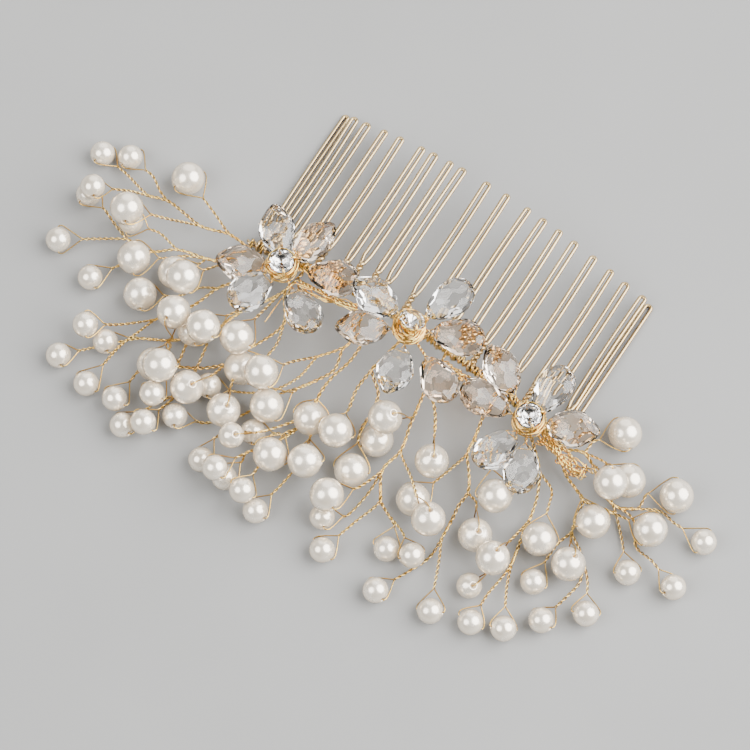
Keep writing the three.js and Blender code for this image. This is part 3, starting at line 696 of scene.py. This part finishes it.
def mergedInto(paths, path):
    # a twig starts beside the stem that it leaves, a few millimetres before it parts
    start = np.array(path[0], float)
    nearest = None
    for other in paths:
        gaps = np.linalg.norm(other - start, axis=1)
        i = int(np.argmin(gaps))
        if gaps[i] < strands["near"] and (nearest is None or gaps[i] < nearest[0]):
            nearest = (gaps[i], other, i)
    if nearest is None:
        return list(path)
    _, other, i = nearest
    along = lengthsAlong(other[: i + 1])
    before = [along[-1] - back for back in strands["merge"] if along[-1] > back + 0.3]
    lead = [np.array([np.interp(at, along, other[: i + 1, k]) for k in range(3)]) for at in before]
    return lead + list(path)


def pearlEye(pearl):
    # the fork of the twig, the direction of the drill hole, and the ways of its two strands to the hole
    centre = np.array(pearl["at"], float)
    radius = pearl["diameter"] / 2
    gap = np.array(pearl["by"][-1], float) - centre
    distance = np.linalg.norm(gap)
    out = gap / distance
    room = min(strands["fork"] * rng.uniform(0.75, 1.35), distance - radius - 0.4)
    fork = centre + out * (radius + max(room, 0.5))
    up = np.array((0.0, 0, 1))
    level = unit(np.cross(out, up))
    upright = np.cross(level, out)
    turn = math.radians(rng.uniform(-18, 18))
    if pearl.get("turned"):
        turn += math.radians(strands["turnedHole"])
    axis = unit(math.cos(turn) * level + math.sin(turn) * upright)
    near = radius + strands["clearance"]
    ways = []
    for sign in (1, -1):
        bulge = rng.uniform(0.96, 1.08)
        stops = [
            (radius + max(room, 0.5), 0.2),
            (0.68 * near, 0.76 * near * bulge),
            (0.3 * near, 0.99 * near * bulge),
            (0.06, radius + 0.14),
            (0, radius - 0.4),
            (0, radius - 1.4),
        ]
        points = [centre + out * outward + axis * sign * sideways for outward, sideways in stops]
        ways.append(smoothPath(points, 0.45))
    return fork, axis, ways


def addPearl(shape, pearl, axis):
    # a ball with two drilled mouths, each a raised lip round a shallow pit of bare bead and a thread hole
    radius = pearl["diameter"] / 2
    hole, lip, thread = pearlShape["hole"], pearlShape["lip"], pearlShape["thread"]
    mouth = math.acos((hole + lip) / radius)
    outside = [
        (radius * math.cos(a), radius * math.sin(a)) for a in np.linspace(-mouth, mouth, pearlShape["rings"])
    ]
    end = outside[-1][1]
    top = end + pearlShape["lipHeight"]
    lipSteps = [(hole + lip * 0.7, top), (hole + lip * 0.35, top), (hole, end - 0.02)]
    pit = [(hole - 0.04, end - 0.4), (thread, end - 0.5), (thread, end - 1.6)]
    inside = lipSteps + pit
    profile = [(r, -z) for r, z in inside[::-1]] + outside + inside
    side = unit(np.cross(axis, (0.3, 0.5, 0.81)))
    other = np.cross(axis, side)
    sides, rows = pearlShape["sides"], len(profile)
    angles = 2 * math.pi * np.arange(sides) / sides
    ring = np.cos(angles)[:, None] * side + np.sin(angles)[:, None] * other
    points = np.concatenate([np.array(pearl["at"], float) + r * ring + z * axis for r, z in profile])

    def band(row):
        following = (row + 1) % rows
        return [
            (row * sides + k, row * sides + (k + 1) % sides,
             following * sides + (k + 1) % sides, following * sides + k)
            for k in range(sides)
        ]

    bare = [row for row in range(rows) if row < len(pit) or row >= rows - 1 - len(pit)]
    skin = [face for row in range(rows) if row not in bare for face in band(row)]
    core = [face for row in bare for face in band(row)]
    shape.add(points, skin)
    shape.join(core, 1)


def makeSpray(spray):
    name = spray["name"]
    wires, pearls, paths = Shape(), Shape(), []
    for i, stem in enumerate(spray["stems"]):
        if i == 0:  # the stem comes over the spine before it leaves
            hook = [roundSpine(spray["hookX"] - 0.3 + 0.2 * k, degrees, strands["hook"])
                    for k, degrees in enumerate((60, 98, 136, 172))]
            stem = hook + list(stem)
        else:
            stem = mergedInto(paths, stem)
        path = smoothPath(stem, 0.5)
        paths.append(path)
        pair, middle = twistedPair(path, strands["stem"], strands["stemTurn"])
        for strand in pair:
            addWire(wires, strand, strands["stem"], 8, middle, tapered=True)
    for pearl in spray["pearls"]:
        fork, axis, ways = pearlEye(pearl)
        path = smoothPath(mergedInto(paths, list(pearl["by"]) + [fork]), 0.5)
        paths.append(path)
        turnLength = strands["twigTurn"] * rng.uniform(0.9, 1.2)
        pair, middle = twistedPair(path, strands["twig"], turnLength, axis)
        for strand, way in zip(pair, ways):
            centre = np.array(pearl["at"], float) * np.ones((len(way) - 1, 1))
            line = np.vstack([strand, way[1:]])
            addWire(wires, line, strands["twig"], 8, np.vstack([middle, centre]))
        addPearl(pearls, pearl, axis)
    wires.finish(name + "_wires", ["wire"], "gold_wire", [name])
    own = sorted(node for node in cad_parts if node.startswith(name + "_pearl_"))
    pearls.finish(name + "_pearls", ["pearl", "core"], "pearl", [name] + own)


for spray in sprays:
    makeSpray(spray)
print("sprays made:", len(sprays))


petal = {
    "length": 12.6, "tilt": 11, "hole": 1.5,
    # the drop lies round these egg shapes: middle along it, and half its width, length and thickness there
    "eggs": ((1.1, 4.4, 5.2, 2.6), (-3.4, 2.7, 2.9, 1.7)),
    "pointedEggs": ((0.2, 4.4, 4.6, 2.6), (4.7, 1.5, 1.6, 1.1), (-3.4, 2.7, 2.9, 1.7)),
    # rows of flats: how steeply they face up, how many lie round the drop, how deep they are ground
    "flats": ((8, 13, 0.99), (33, 12, 0.985), (55, 9, 0.975), (74, 5, 0.965)), "table": 0.95,
}
seatLook = {"radius": 3, "cup": 2.2, "claw": 0.32, "claws": 4, "foot": 3.2}
flowerWire = {"radius": 0.16, "turn": 1.9, "nest": 9, "stemWires": 3, "stemBends": 26}
# Each flower has the middle and lean of its stone, its tinted and its pointed petals, and for each petal
# the direction from the stone, the distance and the height.
flowers = (
    {"name": "flower_left", "stone": (-32.3, 8.5, 13.8), "lean": (0, 0), "warm": "bcf", "pointed": "abf",
     "petals": ((132, 9.2, 11.2), (74, 9.8, 11), (17, 12.8, 13.4), (328, 12.2, 10.8), (258, 9.8, 12.4),
                (207, 9.6, 9.6))},
    {"name": "flower_middle", "stone": (2.2, 11.8, 19.4), "lean": (-28, 0), "warm": "cdf", "pointed": "aef",
     "petals": ((176, 10.8, 17.4), (69, 10.7, 16.6), (19, 11.2, 16.6), (329, 14.4, 15.6), (285, 12, 16.6),
                (216, 11.6, 15.4))},
    {"name": "flower_right", "stone": (36.3, 9.5, 13.8), "lean": (0, 0), "warm": "acf", "pointed": "ac",
     "petals": ((152, 13.4, 12.4), (87, 9.2, 11.2), (22, 10.4, 11.2), (296, 11.6, 9.4), (259, 10.9, 12.6),
                (188, 11.2, 11))},
)


def addPetal(shape, turn, material, pointedEnd):
    # a drop of glass with flats ground all over it, each one a plane that takes off what stands out past it
    eggs = np.array(petal["pointedEggs" if pointedEnd else "eggs"])
    facing = [(90, 0, petal["table"]), (-90, 0, petal["table"])]
    for row, (steepness, count, depth) in enumerate(petal["flats"]):
        for side in (1, -1):
            start = 0.5 * (row % 2) + rng.uniform(-0.12, 0.12)
            facing += [(side * (steepness + rng.uniform(-2, 2)), 360 * (k + start) / count,
                        depth * rng.uniform(0.985, 1.01)) for k in range(count)]
    block = bmesh.new()
    bmesh.ops.create_cube(block, size=2 * petal["length"])
    for rise, bearing, depth in facing:
        up, around = math.radians(rise), math.radians(bearing)
        normal = Vector((math.sin(around) * math.cos(up), math.cos(around) * math.cos(up), math.sin(up)))
        reach = max(
            along * normal.y + math.hypot(a * normal.x, b * normal.y, c * normal.z)
            for along, a, b, c in eggs
        )
        everything = block.verts[:] + block.edges[:] + block.faces[:]
        cut = bmesh.ops.bisect_plane(
            block, geom=everything, plane_co=normal * reach * depth, plane_no=normal,
            clear_outer=True, dist=1e-5,
        )
        rim = [part for part in cut["geom_cut"] if isinstance(part, bmesh.types.BMEdge)]
        if rim:
            bmesh.ops.contextual_create(block, geom=rim)
    bmesh.ops.recalc_face_normals(block, faces=block.faces)
    block.verts.index_update()
    points = [tuple(turn @ corner.co) for corner in block.verts]
    faces = [[corner.index for corner in face.verts] for face in block.faces]
    block.free()
    shape.add(points, faces, material, smooth=False)


def addStone(shape, seat, radius):
    # a round brilliant: table, crown and rim of clear glass over a silvered cone
    def ring(count, distance, height, half=0):
        return [(distance * math.cos(2 * math.pi * (k + half) / count),
                 distance * math.sin(2 * math.pi * (k + half) / count), height) for k in range(count)]

    rows = [ring(8, 0.57 * radius, 1.5), ring(8, 0.8 * radius, 1.15, 0.5), ring(8, radius, 0.55),
            ring(8, radius, 0.3), ring(8, 0.55 * radius, -0.8, 0.5)]
    points = [point for row in rows for point in row] + [(0, 0, -1.6)]
    faces = [tuple(range(8))]
    for k in range(8):
        n = (k + 1) % 8
        faces += [(k, 8 + k, n), (n, 8 + k, 8 + n), (8 + k, 16 + n, 8 + n), (8 + k, 16 + k, 16 + n)]
        faces += [(16 + k, 24 + k, 24 + n, 16 + n), (24 + k, 32 + k, 24 + n)]
        faces += [(24 + n, 32 + k, 32 + n), (32 + k, 40, 32 + n)]
    shape.add([tuple(seat @ Vector(point)) for point in points], faces, 0, smooth=False)
    cone = ring(16, radius + 0.02, 0.2) + ring(16, 0.58 * radius, -1.05, 0.5) + [(0, 0, -1.9)]
    outer = ring(16, radius + 0.12, 0.2) + ring(16, 0.62 * radius, -1.2, 0.5) + [(0, 0, -2.1)]
    faces = []
    for k in range(16):
        n = (k + 1) % 16
        faces += [(k, n, 16 + k), (n, 16 + n, 16 + k), (16 + k, 16 + n, 32)]
        faces += [(33 + k, 49 + k, 33 + n), (33 + n, 49 + k, 49 + n)]
        faces += [(49 + k, 65, 49 + n), (k, 33 + k, 33 + n, n)]
    shape.add([tuple(seat @ Vector(point)) for point in cone + outer], faces, 1, smooth=False)


def addCup(shape, seat):
    # a spun cup with a rounded rim, and claws bent over the stone
    radius, depth = seatLook["radius"], seatLook["cup"]
    profile = [
        (0.5, -depth), (1.5, -depth), (1.9, -depth + 0.5), (2.3, -1.1), (radius - 0.1, -0.3),
        (radius + 0.15, 0.1), (radius + 0.22, 0.3), (radius + 0.34, 0.3), (radius + 0.38, 0.12),
        (radius + 0.3, -0.15), (2.75, -1.1), (2.2, -depth - 0.1), (1.9, -depth - 0.5), (0.5, -depth - 0.5),
    ]
    sides, rows = 28, len(profile)
    points = [tuple(seat @ Vector((r * math.cos(a), r * math.sin(a), z)))
              for r, z in profile for a in 2 * math.pi * np.arange(sides) / sides]
    faces = []
    for row in range(rows):
        for k in range(sides):
            n, following = (k + 1) % sides, (row + 1) % rows
            faces.append((row * sides + k, following * sides + k, following * sides + n, row * sides + n))
    shape.add(points, faces)
    stops = (
        (radius + 0.35, -1.0), (radius + 0.62, -0.1), (radius + 0.6, 0.6), (radius + 0.1, 1.15),
        (radius - 0.55, 1.42),
    )
    for k in range(seatLook["claws"]):
        angle = 2 * math.pi * (0.5 + k) / seatLook["claws"]
        claw = [seat @ Vector((out * math.cos(angle), out * math.sin(angle), up)) for out, up in stops]
        line = smoothPath([tuple(point) for point in claw], 0.25)
        addWire(shape, line, seatLook["claw"], 8, tapered=True)


def makeFlower(flower):
    name, middle = flower["name"], np.array(flower["stone"])
    lean = [math.radians(angle) for angle in flower["lean"]]
    leaning = Matrix.Rotation(lean[1], 4, "Y") @ Matrix.Rotation(lean[0], 4, "X")
    seat = Matrix.Translation(Vector(flower["stone"])) @ leaning
    petals, metal, stone = Shape(), Shape(), Shape()
    below = np.array(seat @ Vector((0, 0, -seatLook["foot"])))
    letters = "abcdef"
    for letter, (degrees, distance, height) in zip(letters, flower["petals"]):
        direction = math.radians(degrees)
        outward = np.array((math.cos(direction), math.sin(direction), 0))
        centre = np.array((middle[0], middle[1], height)) + outward * distance
        tilt = math.radians(petal["tilt"] + rng.uniform(-3, 3))
        turn = (
            Matrix.Translation(Vector(centre)) @ Matrix.Rotation(direction - math.pi / 2, 4, "Z")
            @ Matrix.Rotation(tilt, 4, "X") @ Matrix.Rotation(math.radians(rng.uniform(-12, 12)), 4, "Y")
        )
        addPetal(petals, turn, 1 if letter in flower["warm"] else 0, letter in flower["pointed"])
        # a strand runs out along each side of the narrow end and through its hole
        hole = np.array(turn @ Vector((0, petal["hole"] - petal["length"] / 2, 0)))
        aside = np.array((-math.sin(direction), math.cos(direction), 0))
        start = below + np.array((0, 0, 0.3)) + outward * 1.0
        tip = np.array(turn @ Vector((0, -petal["length"] / 2 - 0.5, 0)))
        way = smoothPath([start, tip], 0.3)
        pair, tie = twistedPair(way, flowerWire["radius"], flowerWire["turn"], aside)
        for sign, strand in zip((1, -1), pair):
            loop = [strand[-1], hole + aside * sign * 1.25, hole + aside * sign * 0.8, hole]
            line = np.vstack([strand, smoothPath(loop, 0.4)[1:]])
            middles = np.vstack([tie, np.ones((len(line) - len(tie), 1)) * hole])
            addWire(metal, line, flowerWire["radius"], 6, middles)
    addCup(metal, seat)
    addStone(stone, seat, seatLook["radius"] - 0.08)
    # wire is wound many times round the foot of the cup
    for strand in range(flowerWire["nest"]):
        t = np.linspace(0, 1, 70)
        angle = 2 * math.pi * (rng.uniform() + t * rng.uniform(1.6, 2.8))
        reach = rng.uniform(2.2, 3.6) + 0.5 * np.sin(2 * math.pi * (t * rng.uniform(2, 4) + rng.uniform()))
        lift = rng.uniform(-0.8, 2.2) + 0.4 * np.sin(2 * math.pi * (t * rng.uniform(2, 4) + rng.uniform()))
        line = below + np.stack([reach * np.cos(angle), reach * np.sin(angle), lift], axis=1)
        addWire(metal, line, flowerWire["radius"], 6, below * np.ones((len(t), 1)))
    # the stem of the flower is bound to the spine with many turns of wire
    root = spineAt(middle[0])
    for strand in range(flowerWire["stemWires"]):
        loops = []
        for share in np.linspace(0, 1, flowerWire["stemBends"]):
            angle = 2 * math.pi * (share * (3.4 + strand) + 0.3 * strand)
            radius = 0.9 + 0.55 * rng.uniform(0, 1) + 0.5 * share
            outward = radius * np.array((math.cos(angle), math.sin(angle), 0))
            loops.append(root + (below - root) * share + outward + rng.normal(0, 0.12, 3))
        line = smoothPath(loops, 0.35)
        share = np.linspace(0, 1, len(line))[:, None]
        addWire(metal, line, flowerWire["radius"], 6, root + (below - root) * share)
    petalNodes = [f"{name}_petal_{letter}" for letter in letters]
    petals.finish(name + "_petals", ["clear", "warm"], "crystal", petalNodes)
    metal.finish(name + "_setting_wires", ["setting"], "gold_setting", [name + "_setting"])
    stone.finish(name + "_brilliant", ["clear", "foil"], "stone", [name + "_stone"])


for flower in flowers:
    makeFlower(flower)
print("flowers made:", len(flowers))

tangles = {
    # route along the spine, twisted pairs and loose strands, how far they stray and how often they loop, and
    # a free cut end
    "wire_ends_left": {"route": ((-27, 8.2, 8.6), (-22, 7.6, 10), (-17, 8.2, 10.8), (-12, 9.6, 11.6)),
                       "pairs": 2, "loose": 8, "stray": 1.2, "loops": 0.8, "radius": 0.17,
                       "free": ((-27.5, 6.5, 6.8), (-28.7, 4.5, 6), (-28.9, -3.6, 5.4))},
    "wire_ends_middle": {"route": ((12, 10, 11), (15.5, 9.8, 10.6), (19, 10, 9.8)),
                         "pairs": 2, "loose": 5, "stray": 0.9, "loops": 1.0, "radius": 0.16},
    "wire_knot": {"route": ((40.5, 9, 7), (44.5, 7.8, 7.8), (49, 7.6, 6.6), (53.5, 7.6, 4.8)),
                  "pairs": 7, "loose": 7, "stray": 1.9, "loops": 1.5, "radius": 0.15},
}
pairTurn = 2.2  # length of one turn of a twisted pair


def makeTangle(name, tangle):
    shape = Shape()
    route = smoothPath(tangle["route"], 0.3)
    share = np.linspace(0, 1, len(route))
    for strand in range(tangle["pairs"] + tangle["loose"]):
        paired = strand < tangle["pairs"]
        offsets = np.zeros_like(route)
        for axis in range(3):
            for wave in (1, 2.3):
                turns = tangle["loops"] * wave * rng.uniform(0.7, 1.3) * (0.5 if paired else 1)
                size = tangle["stray"] / wave * rng.uniform(0.4, 0.9) * (0.6 if axis == 2 else 1)
                offsets[:, axis] += size * np.sin(2 * math.pi * (turns * share + rng.uniform()))
        if paired:
            lines, middle = twistedPair(route + offsets, tangle["radius"], pairTurn)
        else:
            # a loose strand gets painted shade on its side towards a line just under the route
            lines, middle = [route + offsets], route - np.array((0, 0, 0.6))
        for line in lines:
            addWire(shape, line, tangle["radius"], 6, middle)
    if "free" in tangle:
        addWire(shape, smoothPath(tangle["free"], 0.5), tangle["radius"], 8)
    shape.finish(name + "_strands", ["setting"], "gold_wire", [name])


for name, tangle in tangles.items():
    makeTangle(name, tangle)

binding = {
    "from": -36, "to": 42, "turnLength": 0.95, "distance": 0.98, "radius": 0.17,
    # the second layer lies further out, and the first one is wound the other way and less tightly
    "layer": 0.1, "backTurns": -0.8, "wander": 0.5, "slip": 0.8, "rise": 0.06,
}


def makeBinding():
    # two layers of thin wire, wound unevenly along the spine, hold the sprays and flowers on it
    shape = Shape()
    length = binding["to"] - binding["from"]
    turns = length / binding["turnLength"]
    for layer in (0, 0.5):
        t = np.linspace(0, 1, int(turns * 14))
        x = binding["from"] + length * t + binding["wander"] * np.sin(40 * t + 9 * layer)
        wound = turns * t * (1 if layer else binding["backTurns"])
        angle = 2 * math.pi * (wound + layer) + binding["slip"] * np.sin(23 * t)
        distance = binding["distance"] + binding["layer"] * layer + binding["rise"] * np.sin(61 * t + layer)
        path = np.array([roundSpine(*values) for values in zip(x, np.degrees(angle), distance)])
        # painted shade on the side of the wire that faces the spine
        addWire(shape, path, binding["radius"], 6, np.array([spineAt(value) for value in x]))
    shape.finish("binding_wire", ["wire"], "gold_wire", ["comb"])


makeBinding()
print("tangles and binding made")

studio = {
    "floorSize": 5,
    # the walls of the light tent glow near the table and are dim overhead
    "wall": (1.0, 0.97, 0.93, 1), "wallGlow": 0.62, "overhead": 0.17, "wallTop": 0.5,
    # name, place beside, above and over the comb as the camera sees it (m), size (m), power (W)
    "lights": (
        ("key softbox", (0.72, -0.02, 0.72), 1.3, 42),
        ("left softbox", (-0.62, -0.24, 0.76), 0.85, 12),
        ("back softbox", (0.1, 1.1, 0.6), 1.4, 10),
    ),
}


def makeStudio():
    mesh = bpy.data.meshes.new("floor")
    half = studio["floorSize"] / 2
    corners = [(-half, -half, 0), (half, -half, 0), (half, half, 0), (-half, half, 0)]
    mesh.from_pydata(corners, [], [(0, 1, 2, 3)])
    mesh.materials.append(floorSurface())
    floor = bpy.data.objects.new("floor", mesh)
    bpy.context.scene.collection.objects.link(floor)
    world = bpy.data.worlds.new("studio")
    world.use_nodes = True
    nodes, links = world.node_tree.nodes, world.node_tree.links
    nodes["Background"].inputs["Color"].default_value = studio["wall"]
    apart, glow = nodes.new("ShaderNodeSeparateXYZ"), nodes.new("ShaderNodeMapRange")
    glow.inputs["From Max"].default_value = studio["wallTop"]
    glow.inputs["To Min"].default_value = studio["wallGlow"]
    glow.inputs["To Max"].default_value = studio["overhead"]
    links.new(nodes.new("ShaderNodeTexCoord").outputs["Generated"], apart.inputs[0])
    links.new(apart.outputs["Z"], glow.inputs["Value"])
    links.new(glow.outputs[0], nodes["Background"].inputs["Strength"])
    bpy.context.scene.world = world
    turn = math.radians(cameraView["azimuth"])
    right, ahead = Vector((math.cos(turn), math.sin(turn), 0)), Vector((-math.sin(turn), math.cos(turn), 0))
    for name, (beside, above, over), size, power in studio["lights"]:
        light = bpy.data.objects.new(name, bpy.data.lights.new(name, "AREA"))
        light.data.shape = "DISK"
        light.data.size = size
        light.data.energy = power
        light.location = right * beside + ahead * above + Vector((0, 0, over))
        light.rotation_euler = (-light.location).to_track_quat("-Z", "Y").to_euler()
        bpy.context.scene.collection.objects.link(light)


makeStudio()
print("studio made")

bpy.context.view_layer.update()
